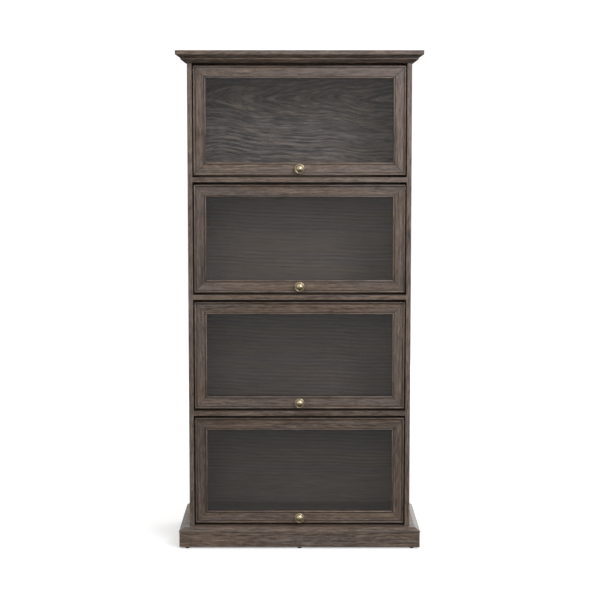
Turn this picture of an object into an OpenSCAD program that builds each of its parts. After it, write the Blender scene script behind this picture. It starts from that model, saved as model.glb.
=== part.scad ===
// Barrister bookcase: four tiers, each closed by a framed glass door that lifts about a pin
// near its top edge and then slides back into its compartment.
// Millimetres. The front faces -Y, +Z is up, and Z = 0 is the floor under the glides.

/* [Carcass] */
// Width across the two side panels
carcass_w = 718; // [560:1:900]
// Depth of the side panels and shelves
carcass_d = 325; // [310:1:420]
// Clear height of each compartment
opening_h = 364; // [330:1:400]
// Thickness of the side panels, shelves, base board and plinth boards
board_t = 15; // [14:1:20]
// Thickness of the back panel
back_t = 5; // [3:1:8]

/* [Crown and plinth] */
// How far the crown stands out from the carcass, at the front and at each side
crown_over = 35; // [32:1:45]
// Height of the crown moulding, below the top board
crown_h = 25; // [25:1:40]
// Thickness of the top board
top_t = 13; // [12:1:20]
// How far the base board stands out from the carcass, at the front and at each side
base_over = 33; // [28:1:45]
// Height of the plinth boards
plinth_h = 48; // [40:1:90]
// Height of the glides
glide_h = 4.5; // [4:0.5:8]

/* [Doors] */
// Thickness of a door frame
door_t = 18; // [18:1:22]
// Width of the rails and stiles, seen from the front
rail_w = 40; // [36:1:60]
// How far a door sits behind the front edges of the carcass
door_recess = 5; // [4:1:8]
// Thickness of the glass
glass_t = 3; // [3:1:4]

/* [Door travel] */
// How far a raised door slides back
slide_travel = 250; // [200:1:255]

/* [Knob] */
// Diameter of the knob's head
knob_d = 32; // [28:1:36]
// How far the knob stands out from the door
knob_h = 26; // [24:1:28]

/* [Hidden] */
$fn = 48;
wood = "#5f534b";
hardboard = "#55493f";
antique_brass = "#8a7346";
zinc = "#b4b7bb";
nylon = "#343231";
dark_plastic = "#2b2927";
clear_glass = "#9fb0b4";
glass_opacity = 0.35;
// Slack that keeps a cutting tool past the face it cuts
over = 1;
TIERS = [1, 2, 3, 4];
SIDES = [-1, 1];

// Carcass levels and planes: the carcass front is the plane y = front_y
inner_w = carcass_w - 2 * board_t;
rear_lap = 2;
rear_y = (crown_over + carcass_d + back_t + rear_lap) / 2;
front_y = rear_y - rear_lap - back_t - carcass_d;
back_y = front_y + carcass_d;
base_z = glide_h + plinth_h;
floor_z = base_z + board_t;
pitch = opening_h + board_t;
top_z = floor_z + len(TIERS) * pitch - board_t;
side_h = top_z + crown_h - floor_z;

// Base board: a flat ledge, then a bevel, then an upright nose
base_bevel_w = 16;
base_bevel_h = 10;
base_w = carcass_w + 2 * base_over;
// The plinth boards stand this far behind the base board's nose
plinth_inset = 1;
plinth_w = base_w - 2 * plinth_inset;
plinth_front_y = front_y - base_over + plinth_inset;
plinth_rear_y = rear_y - plinth_inset;

// Crown moulding, from the carcass outwards: soffit, lower bevel, fillet, step, upper bevel
crown_soffit = 6;
crown_fillet = 19;
crown_step = 1.2;
crown_bevel_h = 10.3;
crown_w = carcass_w + 2 * crown_over;

// Doors, between the side panels and between the shelves
door_gap_side = 3.7;
door_gap_top = 8.5;
door_gap_bottom = 7.5;
door_w = inner_w - 2 * door_gap_side;
door_h = opening_h - door_gap_top - door_gap_bottom;
door_y = front_y + door_recess;
// Round beads along the outer and inner edges of the frame, each beside a groove
outer_bead_r = 2.8;
outer_groove_w = 3.6;
inner_bead_r = 2.3;
inner_groove_w = 2.6;
// The floors of the grooves, and the flat between them, lie this far behind the crown of the beads
groove_drop = 4.2;
flat_drop = 2;
// Rebate behind the inner edge, which holds the glass and its retainer strips
rebate_w = 8;
lip_t = 7.5;
glass_slack = 1;
// Gap between the ends of the retainer strips
strip_gap = 0.5;
strip_w = 7;
// The strips stop this far short of the back of the frame
strip_sunk = 1;
strip_t = door_t - lip_t - glass_t - strip_sunk;
sight_w = door_w - 2 * rail_w;
sight_h = door_h - 2 * rail_w;

// Pivot line of a door: near its top edge and halfway through its thickness
pivot_drop = 15;
pivot_y = door_y + door_t / 2;
pin_d = 5;
pin_sunk = 10;
stud_d = 3;
stud_sunk = 8;
// The stop stud turns on this radius about the pivot, in a quarter-circle slot of the shoe's arm
stop_r = 9;
slot_w = stud_d + 0.6;
running = 0.05;

// Tracks: channels with lips, let into the inner faces of the side panels
track_d = 8;
track_h = 16;
track_wall = 1;
track_mouth = 8;
shoe_len = 20;
shoe_slack = 0.3;
track_len = slide_travel + shoe_len + 2 * shoe_slack + 2 * track_wall;
track_front_y = pivot_y - shoe_len / 2 - shoe_slack - track_wall;
arm_t = 1.7;
arm_gap = 1;
arm_rim = 2;
hub_r = 6.5;

// Knob screw, driven through the bottom rail from behind
knob_screw_d = 4;
knob_screw_in = 14;
screw_head_d = 8;
screw_head_h = 2.4;

// Cam fittings hold the shelves and the top panel to the sides
cam_d = 15;
cam_h = 11;
cam_in = 24;
bolt_d = 6;
bolt_into_side = 6;
cam_rows = [60, carcass_d - 50];
fit_gap = 0.1;
// Screws rise through the base board, and plain pins locate the top board
post_d = 5;
post_in_board = 9;
post_in_side = 30;
post_rows = [80, carcass_d - 70];
post_head_d = 9;
post_head_h = 3;

// Nails of the back panel and glides of the plinth
nail_d = 1.6;
nail_head_d = 6;
nail_head_t = 1;
nail_len = 17;
nails_per_shelf = 4;
nails_per_side = 9;
glide_d = 14;
glide_ease = 1.2;
// How far the end glides stand in from the ends of the plinth
glide_in = 26;

// Height of the floor of a tier, counted from the top down
function tier_z(i) = floor_z + (len(TIERS) - i) * pitch;
// Height of a tier's pivot line
function pivot_z(i) = tier_z(i) + opening_h - door_gap_top - pivot_drop;
// Undersides of the boards that cam fittings hold: the top panel and the shelves
function board_levels() = [for (i = TIERS) tier_z(i) + opening_h];

DOOR_PARTS = ["top_rail", "bottom_rail", "left_stile", "right_stile", "glass",
    "glass_strips", "knob", "knob_screw", "pivot_pins", "slider_shoes"];
CARCASS_PARTS = ["top_board", "crown_front", "crown_left", "crown_right", "top_panel",
    "left_side", "right_side", "shelf_1", "shelf_2", "shelf_3", "base_board", "back_panel",
    "plinth_front", "plinth_left", "plinth_right", "plinth_back", "glides", "tracks",
    "carcass_fasteners", "back_nails"];
function door_node(i, part) = str("door_", i, "_", part);

// ---------------------------------------------------------------- shared shapes

// A block from its lowest corner to its highest corner
module block(low, high) {
    translate(low)
        cube(high - low);
}

// A cylinder along X, from x0 to x1
module rod_x(x0, x1, d) {
    translate([x0, 0, 0])
        rotate([0, 90, 0])
            cylinder(h = x1 - x0, d = d);
}

// A cylinder along Y, from y0 to y1
module rod_y(y0, y1, d) {
    translate([0, y1, 0])
        rotate([90, 0, 0])
            cylinder(h = y1 - y0, d = d);
}

// Draws its children on the right, or mirrored on the left
module on_side(side) {
    mirror([side < 0 ? 1 : 0, 0, 0])
        children();
}

// Extrudes a profile along X, about x = 0; the profile's x points forwards and its y up
module front_run(length) {
    translate([-length / 2, 0, 0])
        rotate([90, 0, 90])
            linear_extrude(length)
                mirror([1, 0, 0])
                    children();
}

// Extrudes a profile along Y, from y0 to y1; the profile's x points right and its y up
module side_run(y0, y1) {
    translate([0, y1, 0])
        rotate([90, 0, 0])
            linear_extrude(y1 - y0)
                children();
}

// The space of a front length, mitred at the corners where x = +-half and y = front
module front_mitre(half, front, depth, low, high) {
    translate([0, 0, low])
        linear_extrude(high - low)
            polygon([[-half, front], [half, front],
                [half - depth, front + depth], [depth - half, front + depth]]);
}

// The space of the right-hand length that meets it and runs to y = rear
module side_mitre(half, front, depth, rear, low, high) {
    translate([0, 0, low])
        linear_extrude(high - low)
            polygon([[half, front], [half, rear],
                [half - depth, rear], [half - depth, front + depth]]);
}

// ---------------------------------------------------------------- crown

// From the carcass outwards: soffit, lower bevel, fillet, step and upper bevel
module crown_profile() {
    step_z = crown_h - crown_bevel_h;
    polygon([[0, 0], [crown_soffit, 0], [crown_fillet, crown_bevel_h], [crown_fillet, step_z],
        [crown_fillet + crown_step, step_z], [crown_over, crown_h], [0, crown_h]]);
}

module crown_front() {
    color(wood)
        intersection() {
            translate([0, front_y, top_z])
                front_run(crown_w)
                    crown_profile();
            front_mitre(crown_w / 2, front_y - crown_over, crown_over, top_z, top_z + crown_h);
        }
}

module crown_side(side) {
    color(wood)
        on_side(side)
            intersection() {
                translate([carcass_w / 2, 0, top_z])
                    side_run(front_y - crown_over, rear_y)
                        crown_profile();
                side_mitre(crown_w / 2, front_y - crown_over, crown_over, rear_y,
                    top_z, top_z + crown_h);
            }
}

// The top board is located by pins that stand in the side panels
module top_board() {
    low = top_z + crown_h;
    color(wood)
        difference() {
            block([-crown_w / 2, front_y - crown_over, low], [crown_w / 2, rear_y, low + top_t]);
            each_post()
                translate([0, 0, low - over])
                    cylinder(h = post_in_board + over + fit_gap, d = post_d + 2 * fit_gap);
        }
}

// ---------------------------------------------------------------- carcass

// Places its children in plan at the posts that hold the side panels upright
module each_post() {
    for (side = SIDES, y = post_rows)
        translate([side * (carcass_w - board_t) / 2, front_y + y, 0])
            children();
}

// A side panel, with a groove per tier for its track and bores for the fasteners
module side_panel(side) {
    outer = carcass_w / 2;
    inner = outer - board_t;
    low = floor_z;
    high = floor_z + side_h;
    color(wood)
        difference() {
            on_side(side)
                block([inner, front_y, low], [outer, back_y, high]);
            on_side(side)
                for (i = TIERS)
                    translate([inner, track_front_y, pivot_z(i)])
                        block([-over, 0, -track_h / 2], [track_d, track_len, track_h / 2]);
            on_side(side)
                for (z = board_levels(), y = cam_rows)
                    translate([inner, front_y + y, z + board_t / 2])
                        rod_x(-over, bolt_into_side + fit_gap, bolt_d + 2 * fit_gap);
            each_post() {
                translate([0, 0, low - over])
                    cylinder(h = post_in_side + over + fit_gap, d = post_d + 2 * fit_gap);
                translate([0, 0, high - post_in_side - fit_gap])
                    cylinder(h = post_in_side + over + fit_gap, d = post_d + 2 * fit_gap);
            }
            each_side_nail()
                nail_bore();
        }
}

// A board that cam fittings hold between the side panels, with its underside at height z
module held_board(z) {
    half = inner_w / 2;
    color(wood)
        difference() {
            block([-half, front_y, z], [half, back_y, z + board_t]);
            for (side = SIDES, y = cam_rows)
                on_side(side)
                    translate([half, front_y + y, z]) {
                        translate([-cam_in, 0, -over])
                            cylinder(h = cam_h + over + fit_gap, d = cam_d + 2 * fit_gap);
                        translate([0, 0, board_t / 2])
                            rod_x(-cam_in, over, bolt_d + 2 * fit_gap);
                    }
            each_board_nail()
                nail_bore();
        }
}

// The base board stands out past the carcass: a flat ledge, a bevel and an upright nose
module base_board() {
    half = base_w / 2;
    front = front_y - base_over;
    nose_z = floor_z - base_bevel_h;
    color(wood)
        difference() {
            intersection() {
                side_run(front, rear_y)
                    polygon([[-half, base_z], [half, base_z], [half, nose_z],
                        [half - base_bevel_w, floor_z], [base_bevel_w - half, floor_z],
                        [-half, nose_z]]);
                front_run(base_w)
                    polygon([[-front, base_z], [-front, nose_z], [-front - base_bevel_w, floor_z],
                        [-rear_y, floor_z], [-rear_y, base_z]]);
            }
            each_post() {
                translate([0, 0, base_z - over])
                    cylinder(h = board_t + 2 * over, d = post_d + 2 * fit_gap);
                translate([0, 0, base_z - over])
                    cylinder(h = post_head_h + over, d = post_head_d + 2 * fit_gap);
            }
        }
}

// The back panel is nailed over the rear edges of the sides, the shelves and the top panel
module back_panel() {
    half = carcass_w / 2;
    color(hardboard)
        difference() {
            block([-half, back_y, floor_z], [half, back_y + back_t, floor_z + side_h]);
            each_side_nail()
                nail_bore();
            each_board_nail()
                nail_bore();
        }
}

// ---------------------------------------------------------------- plinth

module plinth_front() {
    color(wood)
        front_mitre(plinth_w / 2, plinth_front_y, board_t, glide_h, base_z);
}

module plinth_side(side) {
    color(wood)
        on_side(side)
            side_mitre(plinth_w / 2, plinth_front_y, board_t, plinth_rear_y, glide_h, base_z);
}

module plinth_back() {
    half = plinth_w / 2 - board_t;
    color(wood)
        block([-half, plinth_rear_y - board_t, glide_h], [half, plinth_rear_y, base_z]);
}

// Low round glides with an eased lower edge: three at the front and three at the back
module glides() {
    reach = plinth_w / 2 - glide_in;
    rows = [plinth_front_y + board_t / 2, plinth_rear_y - board_t / 2];
    color(dark_plastic)
        for (x = [-reach, 0, reach], y = rows)
            translate([x, y, 0])
                rotate_extrude()
                    polygon([[0, 0], [glide_d / 2 - glide_ease, 0], [glide_d / 2, glide_ease],
                        [glide_d / 2, glide_h], [0, glide_h]]);
}

// ---------------------------------------------------------------- tracks

// A channel with lips, closed at both ends, open towards the compartment
module track() {
    half = track_h / 2;
    mouth = track_mouth / 2;
    end = track_len - track_wall;
    difference() {
        block([0, 0, -half], [track_d, track_len, half]);
        block([track_wall, track_wall, track_wall - half],
            [track_d - track_wall, end, half - track_wall]);
        block([-over, track_wall, -mouth], [track_wall + over, end, mouth]);
    }
}

module tracks() {
    color(zinc)
        for (side = SIDES, i = TIERS)
            on_side(side)
                translate([inner_w / 2, track_front_y, pivot_z(i)])
                    track();
}

// ---------------------------------------------------------------- fasteners of the carcass

// A cam with a driver slot in its lower face, and the bolt that it draws in
module cam_fitting() {
    cut = 1.2;
    cut_depth = 2;
    translate([-cam_in, 0, 0])
        difference() {
            cylinder(h = cam_h, d = cam_d);
            block([-cam_d, -cut / 2, -over], [cam_d, cut / 2, cut_depth]);
        }
    translate([0, 0, board_t / 2])
        rod_x(cam_d / 2 - cam_in + fit_gap, bolt_into_side, bolt_d);
}

module carcass_fasteners() {
    color(zinc) {
        for (side = SIDES, z = board_levels(), y = cam_rows)
            on_side(side)
                translate([inner_w / 2, front_y + y, z])
                    cam_fitting();
        each_post()
            translate([0, 0, base_z]) {
                cylinder(h = board_t + post_in_side, d = post_d);
                cylinder(h = post_head_h - fit_gap, d = post_head_d);
            }
        each_post()
            translate([0, 0, top_z + crown_h - post_in_side])
                cylinder(h = post_in_side + post_in_board, d = post_d);
    }
}

// Places its children at the nails along the side panels
module each_side_nail() {
    margin = 20;
    step = (side_h - 2 * margin) / (nails_per_side - 1);
    for (side = SIDES, k = [0 : nails_per_side - 1])
        translate([side * (carcass_w - board_t) / 2, back_y + back_t, floor_z + margin + k * step])
            children();
}

// Places its children at the nails along the shelves and the top panel
module each_board_nail() {
    step = inner_w / (nails_per_shelf + 1);
    for (z = board_levels(), k = [1 : nails_per_shelf])
        translate([k * step - inner_w / 2, back_y + back_t, z + board_t / 2])
            children();
}

module nail_bore() {
    rod_y(-nail_len - fit_gap, over, nail_d + 2 * fit_gap);
}

// A nail with a flat head that rests on the back panel
module nail() {
    rod_y(-nail_len, nail_head_t, nail_d);
    rod_y(0, nail_head_t, nail_head_d);
}

module back_nails() {
    color(zinc) {
        each_side_nail()
            nail();
        each_board_nail()
            nail();
    }
}

// ---------------------------------------------------------------- doors
// A door is drawn about its pivot line: x = 0 is its middle, and -Y is its front.

// A round bead on a stem
module bead(r) {
    square([2 * r, door_t - r]);
    translate([r, door_t - r])
        circle(r);
}

// Section of a rail or stile: x runs in from the outer edge, y is 0 at the back
module frame_profile() {
    flat_start = 2 * outer_bead_r + outer_groove_w;
    flat_end = rail_w - 2 * inner_bead_r - inner_groove_w;
    difference() {
        union() {
            square([rail_w, door_t - groove_drop]);
            bead(outer_bead_r);
            translate([rail_w - 2 * inner_bead_r, 0])
                bead(inner_bead_r);
            translate([flat_start, 0])
                square([flat_end - flat_start, door_t - flat_drop]);
        }
        translate([rail_w - rebate_w, -over])
            square([rebate_w + over, door_t - lip_t + over]);
    }
}

// A mitred length of frame along X, with its outer edge upwards at z = 0 and its back at y = 0
module frame_member(length) {
    half = length / 2;
    intersection() {
        translate([-half, 0, 0])
            rotate([90, 0, 90])
                linear_extrude(length)
                    mirror([1, 0, 0])
                        rotate(-90)
                            frame_profile();
        rotate([90, 0, 0])
            linear_extrude(door_t)
                polygon([[-half, 0], [half, 0], [half - rail_w, -rail_w], [rail_w - half, -rail_w]]);
    }
}

module top_rail() {
    color(wood)
        translate([0, door_t / 2, pivot_drop])
            frame_member(door_w);
}

module bottom_rail() {
    color(wood)
        difference() {
            translate([0, door_t / 2, pivot_drop - door_h])
                rotate([0, 180, 0])
                    frame_member(door_w);
            at_knob()
                rod_y(-over, door_t, knob_screw_d + 2 * fit_gap);
        }
}

// A stile, bored for its pivot pin and its stop stud
module stile(side) {
    half = door_w / 2;
    color(wood)
        difference() {
            translate([side * half, door_t / 2, pivot_drop - door_h / 2])
                rotate([0, side * 90, 0])
                    frame_member(door_h);
            on_side(side) {
                rod_x(half - pin_sunk - fit_gap, half + over, pin_d + 2 * fit_gap);
                translate([0, 0, -stop_r])
                    rod_x(half - stud_sunk - fit_gap, half + over, stud_d + 2 * fit_gap);
            }
        }
}

module glass() {
    half_w = sight_w / 2 + rebate_w - glass_slack;
    half_h = sight_h / 2 + rebate_w - glass_slack;
    y = door_t / 2 - strip_t - strip_sunk - glass_t;
    color(clear_glass, glass_opacity)
        translate([0, y, pivot_drop - door_h / 2])
            block([-half_w, 0, -half_h], [half_w, glass_t, half_h]);
}

// Four strips in the rebate, behind the glass
module glass_strips() {
    half_w = sight_w / 2;
    half_h = sight_h / 2;
    y = door_t / 2 - strip_t - strip_sunk;
    color(dark_plastic)
        translate([0, y, pivot_drop - door_h / 2]) {
            for (side = SIDES)
                on_side(side)
                    block([half_w, 0, strip_gap - half_h],
                        [half_w + strip_w, strip_t, half_h - strip_gap]);
            for (side = SIDES)
                mirror([0, 0, side < 0 ? 1 : 0])
                    block([-half_w - strip_w, 0, half_h],
                        [half_w + strip_w, strip_t, half_h + strip_w]);
        }
}

// Places its children on the flat of the bottom rail, at its middle
module at_knob() {
    translate([0, flat_drop - door_t / 2, pivot_drop - door_h + rail_w / 2])
        children();
}

// Half section of the knob: x is the radius, y the height above the rail. The dome rises from
// inside a round rim, and the two meet in a shallow valley.
module knob_profile() {
    rim_r = 2.2;
    foot_r = 8.5;
    neck_r = 6;
    dome_h = 7;
    rim_x = knob_d / 2 - rim_r;
    dome_foot_r = rim_x - 1.4;
    dome_z = knob_h - dome_h;
    rim_z = dome_z - 0.6;
    dome_r = (dome_foot_r * dome_foot_r + dome_h * dome_h) / (2 * dome_h);
    polygon([[0, 0], [foot_r, 0], [foot_r, 1.5], [foot_r - 1, 2.5], [neck_r + 0.5, 4],
        [neck_r, 6.5], [neck_r + 1, 9.5], [rim_x - 2.5, rim_z - rim_r - 0.7], [rim_x, rim_z - rim_r],
        [rim_x, rim_z], [dome_foot_r, dome_z], [0, dome_z]]);
    translate([rim_x, rim_z])
        circle(rim_r);
    intersection() {
        translate([0, knob_h - dome_r])
            circle(dome_r);
        translate([0, dome_z])
            square([dome_r, dome_h]);
    }
}

module knob() {
    color(antique_brass)
        at_knob()
            difference() {
                rotate([90, 0, 0])
                    rotate_extrude()
                        knob_profile();
                rod_y(-knob_screw_in - fit_gap, over, knob_screw_d + 2 * fit_gap);
            }
}

// Driven from behind the bottom rail, with its head on the rail's back
module knob_screw() {
    back = door_t - flat_drop;
    color(zinc)
        at_knob() {
            rod_y(-knob_screw_in, back + screw_head_h, knob_screw_d);
            rod_y(back, back + screw_head_h, screw_head_d);
        }
}

// Two pivot pins, which turn in the slider shoes, and two stop studs
module pivot_pins() {
    half = door_w / 2;
    color(zinc)
        for (side = SIDES)
            on_side(side) {
                rod_x(half - pin_sunk, inner_w / 2 + track_d - 2 * track_wall, pin_d);
                translate([0, 0, -stop_r])
                    rod_x(half - stud_sunk, half + arm_gap + arm_t, stud_d);
            }
}

// Outline of a shoe's arm: x points backwards and y up, about the pivot
module arm_outline() {
    rim = slot_w / 2 + arm_rim;
    difference() {
        union() {
            circle(hub_r);
            stop_band(stop_r + rim, 0);
            stop_ends(rim);
        }
        stop_band(stop_r + slot_w / 2, stop_r - slot_w / 2);
        stop_ends(slot_w / 2);
        circle(pin_d / 2 + running);
    }
}

// Quarter of a disc or ring, from straight down to straight forwards
module stop_band(outer_r, inner_r) {
    intersection() {
        difference() {
            circle(outer_r);
            circle(inner_r);
        }
        translate([-outer_r, -outer_r])
            square(outer_r);
    }
}

module stop_ends(r) {
    translate([0, -stop_r])
        circle(r);
    translate([-stop_r, 0])
        circle(r);
}

// A block that slides in the track, a neck through the track's mouth, and the arm
module slider_shoe() {
    face = inner_w / 2;
    arm_x = door_w / 2 + arm_gap;
    block_h = track_h / 2 - track_wall - shoe_slack;
    neck_h = track_mouth / 2 - shoe_slack;
    block_end = face + track_d - track_wall - shoe_slack;
    translate([arm_x, 0, 0])
        rotate([90, 0, 90])
            linear_extrude(arm_t)
                arm_outline();
    difference() {
        union() {
            block([arm_x + arm_t, -hub_r, -neck_h], [face + track_wall + shoe_slack, hub_r, neck_h]);
            block([face + track_wall + shoe_slack, -shoe_len / 2, -block_h],
                [block_end, shoe_len / 2, block_h]);
        }
        rod_x(arm_x, block_end + over, pin_d + 2 * running);
    }
}

module slider_shoes() {
    color(nylon)
        for (side = SIDES)
            on_side(side)
                slider_shoe();
}

// Moves a door's parts from the pivot line to their tier
module in_tier(i) {
    translate([0, pivot_y, pivot_z(i)])
        children();
}

// ---------------------------------------------------------------- the bookcase

top_board();
crown_front();
crown_side(-1);  // crown_left
crown_side(1);  // crown_right
held_board(top_z);  // top_panel
side_panel(-1);  // left_side
side_panel(1);  // right_side
held_board(tier_z(1) - board_t);  // shelf_1
held_board(tier_z(2) - board_t);  // shelf_2
held_board(tier_z(3) - board_t);  // shelf_3
base_board();
back_panel();
plinth_front();
plinth_side(-1);  // plinth_left
plinth_side(1);  // plinth_right
plinth_back();
glides();
tracks();
carcass_fasteners();
back_nails();
for (i = TIERS) {
    in_tier(i) top_rail();
    in_tier(i) bottom_rail();
    in_tier(i) stile(-1);
    in_tier(i) stile(1);
    in_tier(i) glass();
    in_tier(i) glass_strips();
    in_tier(i) knob();
    in_tier(i) knob_screw();
    in_tier(i) pivot_pins();
    in_tier(i) slider_shoes();
}
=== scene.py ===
"""Looks for the barrister bookcase: materials, eased edges, stage, lights and camera.

Everything is in metres in the CAD frame: the front faces -Y, +Z is up and the floor is z = 0.
"""

import math

import bpy
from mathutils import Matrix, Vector


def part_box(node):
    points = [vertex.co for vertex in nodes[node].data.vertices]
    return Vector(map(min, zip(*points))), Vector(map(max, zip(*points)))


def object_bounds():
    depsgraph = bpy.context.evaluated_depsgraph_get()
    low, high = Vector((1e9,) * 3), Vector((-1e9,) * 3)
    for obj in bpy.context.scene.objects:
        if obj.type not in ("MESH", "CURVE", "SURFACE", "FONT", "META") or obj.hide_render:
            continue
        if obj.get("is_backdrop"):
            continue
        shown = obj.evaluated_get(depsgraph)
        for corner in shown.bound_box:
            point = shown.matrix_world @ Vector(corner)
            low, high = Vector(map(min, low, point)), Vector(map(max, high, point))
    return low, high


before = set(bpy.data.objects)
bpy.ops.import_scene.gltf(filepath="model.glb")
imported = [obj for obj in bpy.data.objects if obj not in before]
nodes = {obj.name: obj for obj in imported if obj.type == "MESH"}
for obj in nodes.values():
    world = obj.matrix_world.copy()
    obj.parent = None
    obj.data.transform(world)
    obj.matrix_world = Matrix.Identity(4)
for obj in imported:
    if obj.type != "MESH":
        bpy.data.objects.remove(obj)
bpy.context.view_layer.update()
TIERS = (1, 2, 3, 4)

# ------------------------------------------------------------------ camera
# The camera stands in front of the middle of the bookcase, a little below its crown, and looks
# slightly down.
FRONT_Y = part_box("left_side")[0].y
CAMERA_X = 0.0015
CAMERA_DISTANCE = 4.84
CAMERA_HEIGHT = 1.32
CAMERA_PITCH = 5.220
CAMERA_SHIFT = -0.035
SENSOR = 36.0
IMAGE_SIDE = 600
FOCAL_PIXELS = 1507.8

camera_data = bpy.data.cameras.new("camera")
camera = bpy.data.objects.new("camera", camera_data)
bpy.context.scene.collection.objects.link(camera)
bpy.context.scene.camera = camera
camera.location = (CAMERA_X, FRONT_Y - CAMERA_DISTANCE, CAMERA_HEIGHT)
camera.rotation_euler = (math.radians(90 - CAMERA_PITCH), 0, 0)
camera_data.sensor_width = SENSOR
camera_data.lens = FOCAL_PIXELS * SENSOR / IMAGE_SIDE
camera_data.shift_y = CAMERA_SHIFT
camera_data.clip_end = 100
camera_data.dof.use_dof = False


# ------------------------------------------------------------------ node graphs
class Graph:
    """A short way to write a node tree: add() makes a node, sets its inputs and links them."""

    def __init__(self, tree):
        self.tree = tree
        tree.nodes.clear()

    def add(self, kind, inputs=None, **settings):
        node = self.tree.nodes.new(kind)
        for name, value in settings.items():
            setattr(node, name, value)
        for key, value in (inputs or {}).items():
            self.put(node.inputs[key], value)
        return node

    def put(self, socket, value):
        if isinstance(value, bpy.types.NodeSocket):
            self.tree.links.new(value, socket)
        else:
            socket.default_value = value

    def math(self, operation, *values, clamp=False):
        node = self.add("ShaderNodeMath", operation=operation, use_clamp=clamp)
        for i, value in enumerate(values):
            self.put(node.inputs[i], value)
        return node.outputs[0]

    def vector(self, operation, *values):
        node = self.add("ShaderNodeVectorMath", operation=operation)
        for i, value in enumerate(values):
            self.put(node.inputs[i], value)
        return node.outputs["Value" if operation == "DOT_PRODUCT" else "Vector"]

    def combine(self, x, y, z):
        return self.add("ShaderNodeCombineXYZ", {"X": x, "Y": y, "Z": z}).outputs[0]

    def noise(self, vector, seed, scale=1.0, detail=3.0, roughness=0.55):
        return self.add("ShaderNodeTexNoise", {
            "Vector": vector, "W": seed, "Scale": scale, "Detail": detail,
            "Roughness": roughness}, noise_dimensions="4D").outputs["Fac"]

    def ramp(self, value, stops):
        node = self.add("ShaderNodeValToRGB", {"Fac": value})
        elements = node.color_ramp.elements
        while len(elements) < len(stops):
            elements.new(0.5)
        for element, (place, colour) in zip(elements, stops):
            element.position = place
            element.color = (*colour, 1)
        return node.outputs["Color"]

    def mix(self, factor, a, b, blend="MIX"):
        node = self.add("ShaderNodeMix", data_type="RGBA", blend_type=blend)
        self.put(node.inputs["Factor"], factor)
        self.put(node.inputs["A"], a)
        self.put(node.inputs["B"], b)
        return node.outputs["Result"]

    def remap(self, value, low, high, to_low=0.0, to_high=1.0):
        node = self.add("ShaderNodeMapRange", clamp=True)
        for i, v in enumerate((value, low, high, to_low, to_high)):
            self.put(node.inputs[i], v)
        return node.outputs[0]


def new_group(name, inputs, outputs):
    """An empty node group with its Graph, input sockets by name, and its output node."""
    tree = bpy.data.node_groups.new(name, "ShaderNodeTree")
    for label, kind, default in inputs:
        item = tree.interface.new_socket(label, in_out="INPUT", socket_type=kind)
        if default is not None:
            item.default_value = default
    for label, kind in outputs:
        tree.interface.new_socket(label, in_out="OUTPUT", socket_type=kind)
    graph = Graph(tree)
    source = graph.add("NodeGroupInput")
    sink = graph.add("NodeGroupOutput")
    return tree, graph, source.outputs, sink


def new_material(name):
    material = bpy.data.materials.new(name)
    material.use_nodes = True
    graph = Graph(material.node_tree)
    sink = graph.add("ShaderNodeOutputMaterial")
    return material, graph, sink


# ------------------------------------------------------------------ wood
# Dark colour for the corner joint lines, and for the painted shade in grooves, creases and under
# the top panel
JOINT_DARK_AND_PAINTED_SHADE = (0.014, 0.010, 0.008, 1)


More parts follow.
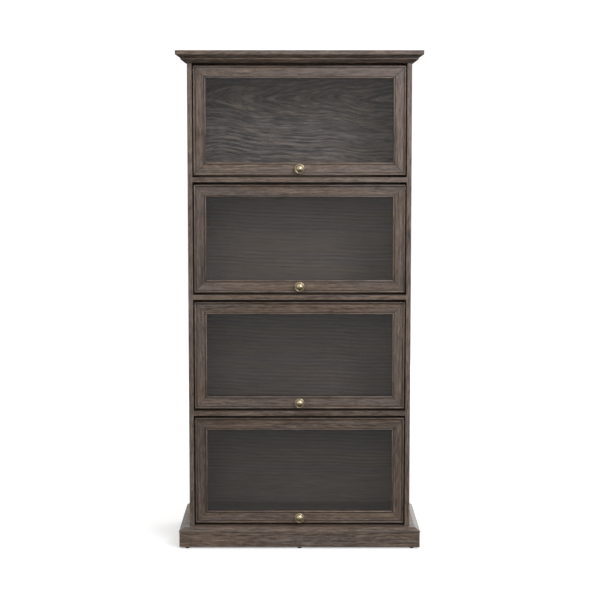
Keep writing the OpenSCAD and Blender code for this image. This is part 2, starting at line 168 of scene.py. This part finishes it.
def wood_group():
    """Printed woodgrain. Its vector runs along the grain, across it and into the board."""
    tree, g, given, sink = new_group(
        "woodgrain",
        [("Vector", "NodeSocketVector", None), ("Seed", "NodeSocketFloat", 0.0),
         ("Figure", "NodeSocketFloat", 0.3), ("Arch", "NodeSocketFloat", 0.05),
         ("Rings", "NodeSocketFloat", 560.0),
         ("Contrast", "NodeSocketFloat", 1.0), ("Fine", "NodeSocketFloat", 1.0),
         ("Tone", "NodeSocketFloat", 0.0)],
        [("Color", "NodeSocketColor"), ("Roughness", "NodeSocketFloat"),
         ("Height", "NodeSocketFloat")])
    seed = given["Seed"]

    def stretched(along, across, vector):
        return g.vector("MULTIPLY", vector, (along, across, across))

    def centred(value, weight):
        return g.math("MULTIPLY", g.math("SUBTRACT", value, 0.5), weight)

    # The grain wanders slowly from side to side
    wander = g.noise(stretched(1.5, 6.0, given["Vector"]), seed, detail=2.0)
    grain = g.vector("ADD", given["Vector"], g.combine(0.0, centred(wander, 0.05), 0.0))

    # Growth rings: level lines of a slow field, so they run straight or close into long arches
    swell = g.noise(stretched(1.1, 5.5, given["Vector"]), seed, detail=1.5, roughness=0.4)
    across = g.add("ShaderNodeSeparateXYZ", {"Vector": given["Vector"]}).outputs["Y"]
    field = g.math("ADD", across, g.math("MULTIPLY", swell, given["Arch"]))
    jitter = g.noise(stretched(7.0, 60.0, grain), seed, detail=3.0)
    phase = g.math("MULTIPLY_ADD", field, given["Rings"], g.math("MULTIPLY", jitter, 4.0))
    wave = g.math("MULTIPLY_ADD", g.math("SINE", phase), 0.5, 0.5)
    rings = g.math("SUBTRACT", g.math("POWER", wave, 2.4),
                   g.math("POWER", g.math("SUBTRACT", 1.0, wave), 3.5))
    presence = g.remap(g.noise(stretched(1.6, 12.0, grain), seed, detail=2.0), 0.36, 0.64)
    broken = g.remap(g.noise(stretched(20.0, 120.0, grain), seed, detail=2.0), 0.30, 0.62)
    ring_weight = g.math("MULTIPLY", g.math("MULTIPLY", given["Figure"], presence), broken)

    # Broad bands, then streaks, then single fibres and pores
    bands = g.noise(stretched(1.2, 24.0, grain), seed, detail=2.0)
    streaks = g.noise(stretched(7.0, 95.0, grain), seed, detail=3.0, roughness=0.6)
    lines = g.noise(stretched(30.0, 270.0, grain), seed, detail=3.0, roughness=0.62)
    fibres = g.noise(stretched(90.0, 700.0, grain), seed, detail=2.0)
    pores = g.remap(g.noise(stretched(60.0, 900.0, grain), seed, detail=1.0), 0.58, 0.70)

    tone = g.math("ADD", centred(bands, 0.45), centred(streaks, 0.65))
    fine = g.math("ADD", centred(lines, 1.70), centred(fibres, 0.90))
    tone = g.math("ADD", tone, g.math("MULTIPLY", fine, given["Fine"]))
    tone = g.math("SUBTRACT", tone, g.math("MULTIPLY", rings, ring_weight))
    tone = g.math("SUBTRACT", tone, g.math("MULTIPLY", pores, 0.14))
    tone = g.math("MULTIPLY", tone, given["Contrast"])
    tone = g.math("ADD", g.math("ADD", tone, given["Tone"]), 0.5, clamp=True)
    colour = g.ramp(tone, [
        (0.00, (0.030, 0.022, 0.017)), (0.25, (0.072, 0.053, 0.041)),
        (0.50, (0.122, 0.091, 0.071)), (0.75, (0.178, 0.137, 0.106)),
        (1.00, (0.262, 0.205, 0.155))])
    # Patches drift between a tan and a mauve-grey brown
    drift = g.noise(stretched(2.2, 42.0, grain), seed, scale=1.3, detail=2.0)
    tint = g.mix(g.remap(drift, 0.36, 0.64), (1.07, 1.0, 0.90, 1), (0.96, 1.0, 1.09, 1))
    colour = g.mix(1.0, colour, tint, blend="MULTIPLY")

    # Painted shade darkens the grooves and creases by ambient occlusion, and the edges are rubbed
    # lighter
    hollow = g.add("ShaderNodeAmbientOcclusion", {"Distance": 0.005}, samples=4).outputs["AO"]
    colour = g.mix(g.remap(hollow, 0.70, 0.25, 0.0, 0.75), colour, JOINT_DARK_AND_PAINTED_SHADE)
    edge = g.add("ShaderNodeBevel", {"Radius": 0.0016}, samples=4).outputs[0]
    facing = g.vector("DOT_PRODUCT", edge, g.add("ShaderNodeNewGeometry").outputs["Normal"])
    patchy = g.remap(g.noise(stretched(16.0, 16.0, given["Vector"]), seed), 0.40, 0.66, 0.25, 1.0)
    wear = g.math("MULTIPLY", g.remap(facing, 0.995, 0.88), patchy)
    wear = g.math("MULTIPLY", wear, g.remap(hollow, 0.55, 0.85, 0.0, 0.40))
    colour = g.mix(wear, colour, (0.245, 0.192, 0.150, 1))

    roughness = g.math("ADD", g.math("MULTIPLY", lines, 0.16), 0.33)
    roughness = g.math("ADD", roughness, g.math("MULTIPLY", pores, 0.10), clamp=True)
    height = g.math("ADD", g.math("MULTIPLY", streaks, 0.5), g.math("MULTIPLY", lines, 0.5))
    height = g.math("SUBTRACT", height, g.math("MULTIPLY", pores, 0.12))
    g.put(sink.inputs["Color"], colour)
    g.put(sink.inputs["Roughness"], roughness)
    g.put(sink.inputs["Height"], height)
    return tree


WOODGRAIN = wood_group()
# Which object axis runs along the grain, across it and into the board
GRAIN_AXES = {"along_x": "XZY", "along_x_flat": "XYZ", "along_y": "YZX",
              "along_z": "ZXY", "along_z_side": "ZYX"}


def wood_material(name, axes, seed, figure, arch, tone=0.0, contrast=1.0, mitre=None):
    """Woodgrain for a board or a frame piece.

    Figure is the strength of the growth rings and arch is how far they bend. Mitre is the half
    width, middle z and half height of a frame, and how dark the lines at its corner joints are.
    """
    material, g, sink = new_material(name)
    place = g.add("ShaderNodeTexCoord").outputs["Object"]
    split = g.add("ShaderNodeSeparateXYZ", {"Vector": place}).outputs
    along, across, inward = [split[axis] for axis in GRAIN_AXES[axes]]
    grain = g.add("ShaderNodeGroup", {
        "Vector": g.combine(along, across, inward), "Seed": seed, "Figure": figure,
        "Arch": arch, "Contrast": contrast, "Tone": tone}, node_tree=WOODGRAIN).outputs
    colour = grain["Color"]
    if mitre:
        half_width, middle, half_height, strength = mitre
        from_side = g.math("SUBTRACT", half_width, g.math("ABSOLUTE", split["X"]))
        height = g.math("ABSOLUTE", g.math("SUBTRACT", split["Z"], middle))
        from_end = g.math("SUBTRACT", half_height, height)
        off_joint = g.math("ABSOLUTE", g.math("SUBTRACT", from_side, from_end))
        colour = g.mix(g.remap(off_joint, 0.0010, 0.0026, strength, 0.0), colour, JOINT_DARK_AND_PAINTED_SHADE)
    finish_wood(g, sink, colour, grain)
    return material


def back_panel_material():
    """Cooler, softer woodgrain, with strong nested arches on its front behind the top door, whose
    raised contrast is a painted sheen, and with painted shade under the top panel.
    """
    material, g, sink = new_material("wood_back_panel")
    place = g.add("ShaderNodeTexCoord").outputs["Object"]
    x, y, z = g.add("ShaderNodeSeparateXYZ", {"Vector": place}).outputs
    compartment_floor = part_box("shelf_1")[1].z
    compartment_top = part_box("top_panel")[0].z
    outer_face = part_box("back_panel")[1].y

    # The rings close into pointed arches, whose axis wanders at this height towards this end
    arch_end = 0.50
    arch_axis = compartment_top - 0.1035
    arch_slope = 0.11
    arch_power = 1.5
    depth = g.math("MULTIPLY", g.math("ABSOLUTE", g.math("SUBTRACT", x, arch_end)), arch_slope)
    wander = g.noise(g.combine(g.math("MULTIPLY", x, 3.0), 0.0, 0.0), 2.0, detail=1.0)
    sway = g.remap(z, compartment_floor - 0.1045, compartment_floor + 0.0955, 0.035, 0.12)
    axis = g.math("MULTIPLY_ADD", g.math("SUBTRACT", wander, 0.5), sway, arch_axis)
    rise = g.math("ABSOLUTE", g.math("SUBTRACT", z, axis))
    across = g.math("ADD", g.math("POWER", rise, arch_power), g.math("POWER", depth, arch_power))
    across = g.math("POWER", across, 1 / arch_power)
    along = g.math("MULTIPLY", x, 0.6)

    # Painted sheen: the grain's contrast grows towards the top compartment; painted shade: it
    # fades again right under its top panel
    front_face = g.remap(y, outer_face - 0.0035, outer_face - 0.0015, 1.0, 0.0)
    painted_sheen_rise = g.remap(z, compartment_floor - 0.0445, compartment_floor + 0.0555, 0.0, 1.8)
    painted_shade_fade = g.remap(z, compartment_top - 0.0885, compartment_top - 0.0185, 1.0, 0.4)
    painted_sheen_and_shade = g.math("MULTIPLY_ADD", g.math("MULTIPLY", painted_sheen_rise, painted_shade_fade), front_face, 1.0)
    grain = g.add("ShaderNodeGroup", {
        "Vector": g.combine(along, across, y), "Seed": 4.4, "Figure": 0.42, "Arch": 0.03,
        "Rings": 500.0, "Contrast": g.math("MULTIPLY", painted_sheen_and_shade, 0.42),
        "Fine": g.math("MULTIPLY", g.math("SQRT", painted_sheen_and_shade), 0.95)}, node_tree=WOODGRAIN).outputs
    colour = g.mix(1.0, grain["Color"], (1.04, 1.08, 1.17, 1), blend="MULTIPLY")
    # Painted shade: the strip tucked up under the top panel is darkened towards the dark colour
    painted_shade_under_top = g.remap(z, compartment_top - 0.0835, compartment_top - 0.0235, 0.0, 0.34)
    colour = g.mix(painted_shade_under_top, colour, JOINT_DARK_AND_PAINTED_SHADE)
    finish_wood(g, sink, colour, grain)
    return material


def finish_wood(g, sink, colour, grain):
    """The shader that every wooden piece ends in, with the grain as a shallow relief."""
    bump = g.add("ShaderNodeBump", {
        "Strength": 0.35, "Distance": 0.0003, "Height": grain["Height"]})
    shader = g.add("ShaderNodeBsdfPrincipled", {
        "Base Color": colour, "Roughness": grain["Roughness"],
        "Normal": bump.outputs[0], "Specular IOR Level": 0.45})
    g.put(sink.inputs["Surface"], shader.outputs[0])


# ------------------------------------------------------------------ glass, metal and plastic
def glass_material():
    """A clear pane that mirrors by its Fresnel share and carries a very thin film of dust."""
    material, g, sink = new_material("clear_glass")
    place = g.add("ShaderNodeTexCoord").outputs["Object"]
    smears = g.noise(place, 3.0, scale=9.0, detail=5.0)
    shine = g.add("ShaderNodeBsdfGlossy", {
        "Color": (1, 1, 1, 1), "Roughness": g.remap(smears, 0.35, 0.75, 0.010, 0.045)})
    clear = g.add("ShaderNodeBsdfTransparent", {"Color": (0.955, 0.960, 0.955, 1)})
    fresnel = g.add("ShaderNodeFresnel", {"IOR": 1.5}).outputs[0]
    both = g.add("ShaderNodeMixShader", {0: fresnel, 1: clear.outputs[0], 2: shine.outputs[0]})
    dust = g.add("ShaderNodeBsdfDiffuse", {"Color": (0.96, 0.97, 1.0, 1)})
    film = g.add("ShaderNodeMixShader", {
        0: g.remap(smears, 0.25, 0.80, 0.005, 0.010), 1: both.outputs[0], 2: dust.outputs[0]})
    g.put(sink.inputs["Surface"], film.outputs[0])
    return material


def brass_material():
    """Antique brass: dark in the hollows, rubbed bright on the dome and the rim."""
    material, g, sink = new_material("antique_brass")
    place = g.add("ShaderNodeTexCoord").outputs["Object"]
    mottling = g.noise(place, 1.0, scale=160.0, detail=5.0)
    crease = g.add("ShaderNodeAmbientOcclusion", {"Distance": 0.006}, samples=8).outputs["AO"]
    dark = g.remap(crease, 0.45, 0.95, 1.0, 0.0)
    rubbed = g.mix(mottling, (0.52, 0.42, 0.26, 1), (0.66, 0.56, 0.38, 1))
    colour = g.mix(dark, rubbed, (0.10, 0.075, 0.045, 1))
    fine = g.noise(place, 2.0, scale=900.0, detail=3.0)
    bump = g.add("ShaderNodeBump", {"Strength": 0.25, "Distance": 0.0001, "Height": fine})
    shader = g.add("ShaderNodeBsdfPrincipled", {
        "Base Color": colour, "Metallic": 1.0,
        "Roughness": g.math("MULTIPLY_ADD", mottling, 0.16, 0.24), "Normal": bump.outputs[0]})
    g.put(sink.inputs["Surface"], shader.outputs[0])
    return material


def steel_material():
    """Zinc plate with a faint spangle and rolling marks."""
    material, g, sink = new_material("zinc_plate")
    place = g.add("ShaderNodeTexCoord").outputs["Object"]
    spangle = g.noise(place, 4.0, scale=90.0, detail=2.0)
    rolling = g.noise(g.vector("MULTIPLY", place, (600.0, 12.0, 600.0)), 5.0, detail=3.0)
    colour = g.mix(spangle, (0.46, 0.47, 0.50, 1), (0.66, 0.67, 0.68, 1))
    bump = g.add("ShaderNodeBump", {"Strength": 0.2, "Distance": 0.0001, "Height": rolling})
    shader = g.add("ShaderNodeBsdfPrincipled", {
        "Base Color": colour, "Metallic": 1.0,
        "Roughness": g.math("MULTIPLY_ADD", rolling, 0.22, 0.24), "Normal": bump.outputs[0]})
    g.put(sink.inputs["Surface"], shader.outputs[0])
    return material


def plastic_material(name, dark, light, roughness):
    material, g, sink = new_material(name)
    place = g.add("ShaderNodeTexCoord").outputs["Object"]
    cloud = g.noise(place, 6.0, scale=60.0, detail=3.0)
    fine = g.noise(place, 7.0, scale=1400.0, detail=2.0)
    bump = g.add("ShaderNodeBump", {"Strength": 0.3, "Distance": 0.0001, "Height": fine})
    shader = g.add("ShaderNodeBsdfPrincipled", {
        "Base Color": g.mix(cloud, dark, light),
        "Roughness": g.math("MULTIPLY_ADD", fine, 0.14, roughness), "Normal": bump.outputs[0]})
    g.put(sink.inputs["Surface"], shader.outputs[0])
    return material


# ------------------------------------------------------------------ dressing the CAD nodes
def dress(node_name, material, ease=0.0006):
    """Gives a CAD node its material and, with ease, small rounded edges of that size."""
    obj = nodes[node_name]
    obj.data.materials.clear()
    obj.data.materials.append(material)
    weld = obj.modifiers.new("weld", "WELD")
    weld.merge_threshold = 0.000002
    if ease:
        bevel = obj.modifiers.new("eased_edges", "BEVEL")
        bevel.width = ease
        bevel.segments = 2
        bevel.limit_method = "ANGLE"
        bevel.angle_limit = math.radians(28)
        bevel.harden_normals = True
        bevel.use_clamp_overlap = True


# Grain direction, ring strength, how strongly the rings arch, and tone; the darker tones of the
# crown and the third shelf are painted shade
BOARD_LOOKS = {
    "top_board": ("along_x_flat", 0.20, 0.10, -0.02),
    "crown_front": ("along_x", 0.10, 0.03, -0.13),
    "crown_left": ("along_y", 0.10, 0.03, -0.10),
    "crown_right": ("along_y", 0.10, 0.03, -0.10),
    "top_panel": ("along_x_flat", 0.22, 0.12, 0.0),
    "left_side": ("along_z_side", 0.26, 0.16, 0.0),
    "right_side": ("along_z_side", 0.26, 0.16, 0.0),
    "shelf_1": ("along_x_flat", 0.22, 0.12, 0.06),
    "shelf_2": ("along_x_flat", 0.22, 0.12, 0.0),
    "shelf_3": ("along_x_flat", 0.22, 0.12, -0.16),
    "base_board": ("along_x_flat", 0.22, 0.12, 0.0),
    "plinth_front": ("along_x", 0.24, 0.07, 0.0),
    "plinth_left": ("along_y", 0.24, 0.07, 0.0),
    "plinth_right": ("along_y", 0.24, 0.07, 0.0),
    "plinth_back": ("along_x", 0.24, 0.07, 0.0),
}
for number, (board, (axes, figure, arch, tone)) in enumerate(BOARD_LOOKS.items()):
    dress(board, wood_material("wood_" + board, axes, 1.7 * number, figure, arch, tone))
dress("back_panel", back_panel_material(), ease=0.0)

glass = glass_material()
brass = brass_material()
zinc = steel_material()
nylon = plastic_material("nylon", (0.024, 0.022, 0.021, 1), (0.042, 0.039, 0.037, 1), 0.42)
dark_plastic = plastic_material("dark_plastic", (0.016, 0.015, 0.014, 1),
                                (0.030, 0.028, 0.026, 1), 0.40)
for name in ("tracks", "carcass_fasteners", "back_nails"):
    dress(name, zinc, ease=0.0)
dress("glides", dark_plastic, ease=0.0)

# Grain direction and tone of each frame piece; the left stile is toned darker than the right
# stile as painted shade
FRAME_LOOKS = {"top_rail": ("along_x", -0.06), "bottom_rail": ("along_x", 0.02),
               "left_stile": ("along_z", -0.08), "right_stile": ("along_z", -0.01)}
FRAME_FIGURE = 0.22
FRAME_ARCH = 0.06
for i in TIERS:
    # The top door's grain and joints are the clearest, and the lowest door is a little darker as
    # painted shade
    contrast, joint_strength = (1.0, 0.62) if i == 1 else (0.85, 0.40)
    shade = 0.05 if i == 4 else 0.0
    low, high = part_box(f"door_{i}_left_stile")
    mitre = (-low.x, (low.z + high.z) / 2, (high.z - low.z) / 2, joint_strength)
    for part, (axes, tone) in FRAME_LOOKS.items():
        seed = 31.0 + 7.3 * i + 1.9 * len(part)
        dress(f"door_{i}_{part}", wood_material(
            f"wood_door_{i}_{part}", axes, seed, FRAME_FIGURE, FRAME_ARCH, tone - shade,
            contrast, mitre))
    dress(f"door_{i}_glass", glass, ease=0.0003)
    dress(f"door_{i}_glass_strips", dark_plastic, ease=0.0003)
    dress(f"door_{i}_knob", brass, ease=0.0)
    dress(f"door_{i}_knob_screw", zinc, ease=0.0)
    dress(f"door_{i}_pivot_pins", zinc, ease=0.0)
    dress(f"door_{i}_slider_shoes", nylon, ease=0.0)


# ------------------------------------------------------------------ stage and light
def make_floor(radius=40.0):
    mesh = bpy.data.meshes.new("floor")
    mesh.from_pydata([(-radius, -radius, 0), (radius, -radius, 0),
                      (radius, radius, 0), (-radius, radius, 0)], [], [(0, 1, 2, 3)])
    floor = bpy.data.objects.new("floor", mesh)
    bpy.context.scene.collection.objects.link(floor)
    material, g, sink = new_material("pale_floor")
    shader = g.add("ShaderNodeBsdfPrincipled", {
        "Base Color": (0.82, 0.82, 0.815, 1), "Roughness": 0.9, "Specular IOR Level": 0.0,
        "Emission Color": (1, 1, 1, 1), "Emission Strength": 0.30})
    g.put(sink.inputs["Surface"], shader.outputs[0])
    mesh.materials.append(material)
    floor.visible_diffuse = False
    floor.visible_glossy = False
    floor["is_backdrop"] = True


def make_softbox(name, place, target, size, power, colour, mirrored=True):
    data = bpy.data.lights.new(name, "AREA")
    data.shape = "RECTANGLE"
    data.size, data.size_y = size
    data.energy = power
    data.color = colour
    light = bpy.data.objects.new(name, data)
    light.location = place
    aim = Vector(target) - Vector(place)
    light.rotation_euler = aim.to_track_quat("-Z", "Y").to_euler()
    light.visible_camera = False
    light.visible_glossy = mirrored
    bpy.context.scene.collection.objects.link(light)


def make_world():
    """A white room that is dim behind the camera and dark below the floor."""
    world = bpy.data.worlds.new("studio")
    bpy.context.scene.world = world
    world.use_nodes = True
    g = Graph(world.node_tree)
    sink = g.add("ShaderNodeOutputWorld")
    ray = g.add("ShaderNodeTexCoord").outputs["Generated"]
    x, y, z = g.add("ShaderNodeSeparateXYZ", {"Vector": ray}).outputs
    front = g.remap(y, -0.15, -0.70)
    frontal = g.remap(z, 0.05, 0.40, 0.26, 0.80)
    sides = g.math("MULTIPLY_ADD", x, 0.40, 0.95)
    room = g.math("ADD", g.math("MULTIPLY", front, frontal),
                  g.math("MULTIPLY", g.math("SUBTRACT", 1.0, front), sides))
    above = g.remap(z, -0.10, 0.03)
    below = g.remap(z, -0.70, -0.35, 0.07, 0.26)
    room = g.math("ADD", g.math("MULTIPLY", above, room),
                  g.math("MULTIPLY", g.math("SUBTRACT", 1.0, above), below))
    seen = g.add("ShaderNodeLightPath").outputs["Is Camera Ray"]
    light = g.add("ShaderNodeBackground", {"Color": (1, 1, 1, 1), "Strength": room})
    white = g.add("ShaderNodeBackground", {"Color": (1, 1, 1, 1), "Strength": 1.1})
    both = g.add("ShaderNodeMixShader", {0: seen, 1: light.outputs[0], 2: white.outputs[0]})
    g.put(sink.inputs["Surface"], both.outputs[0])


make_floor()
make_world()
make_softbox("key", (1.25, -2.35, 2.25), (0.0, -0.1, 1.05), (1.1, 0.9), 37, (0.97, 0.98, 1.10))
make_softbox("front", (-0.25, -3.40, 1.50), (0.0, -0.1, 0.90), (1.6, 1.0), 27,
             (1.0, 0.975, 0.92), mirrored=False)
make_softbox("fill", (-2.4, -2.8, 1.5), (0.0, -0.1, 0.6), (1.8, 2.0), 8, (1.03, 0.96, 0.82))
make_softbox("side", (1.90, 3.40, 1.20), (0.4, 0.0, 0.1), (2.4, 1.8), 24, (1, 1, 1))
bpy.context.scene.view_settings.view_transform = "Standard"
bpy.context.scene.view_settings.look = "None"

low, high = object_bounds()
